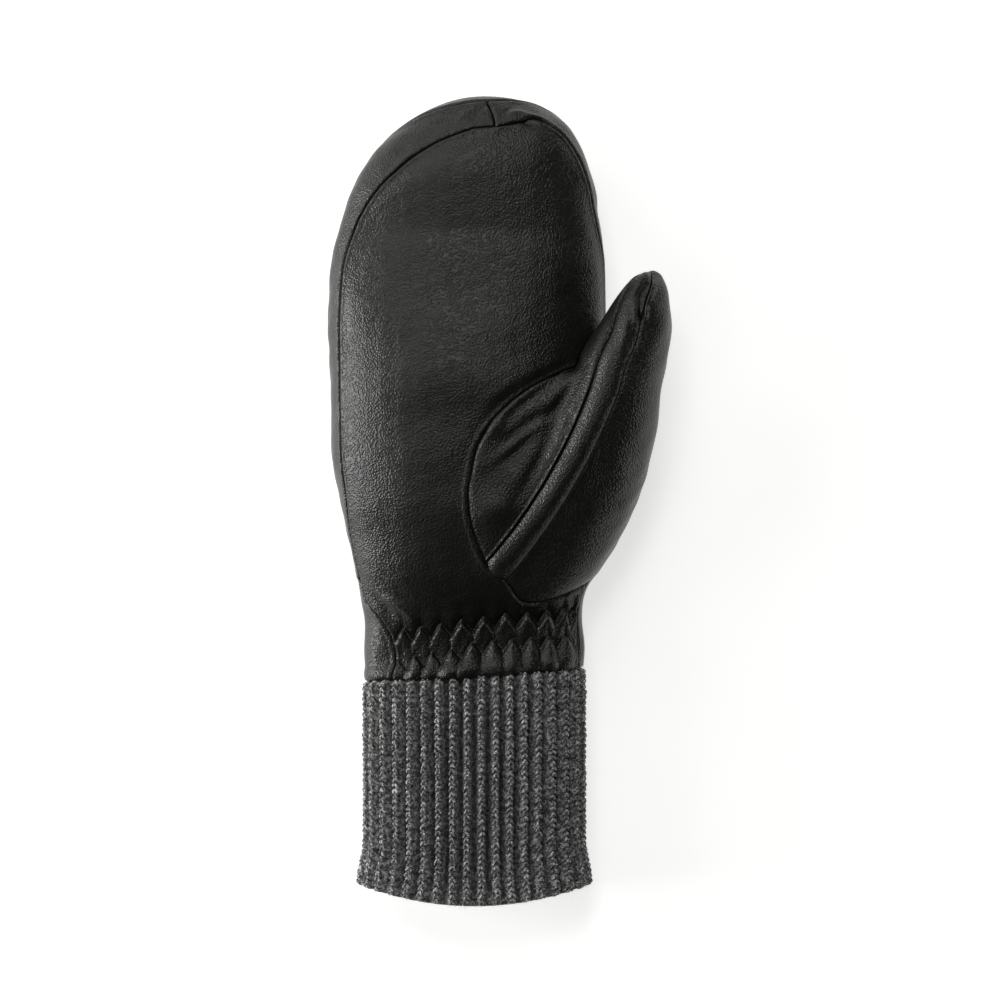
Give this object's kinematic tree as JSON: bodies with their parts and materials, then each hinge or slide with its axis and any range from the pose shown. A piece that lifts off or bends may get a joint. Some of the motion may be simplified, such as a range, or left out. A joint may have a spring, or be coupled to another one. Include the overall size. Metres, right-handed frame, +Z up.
{
  "type": "leather mitten",
  "caption": "Right-hand dress mitten of black leather with side strips, a gusseted thumb, a shirred wrist and a ribbed knit cuff, lying palm up and open for a hand.",
  "frame": {"origin": "on the surface it lies on, under the middle of the mitten's box", "axes": "+Z up out of the palm, +Y towards the finger tips, +X towards the thumb"},
  "size_m": [0.1198, 0.2824, 0.052],
  "materials": {
    "leather": "soft dressed hide with a fine pebble grain, half matt",
    "knit": "heather charcoal wool, ribbed"
  },
  "bodies": {
    "root": {"palm_panel": "leather", "back_panel": "leather", "outer_side_strip": "leather", "inner_side_strip": "leather", "thumb_inner": "leather", "thumb_strip": "leather", "thumb_outer": "leather", "knit_cuff": "knit"}
  },
  "joints": []
}
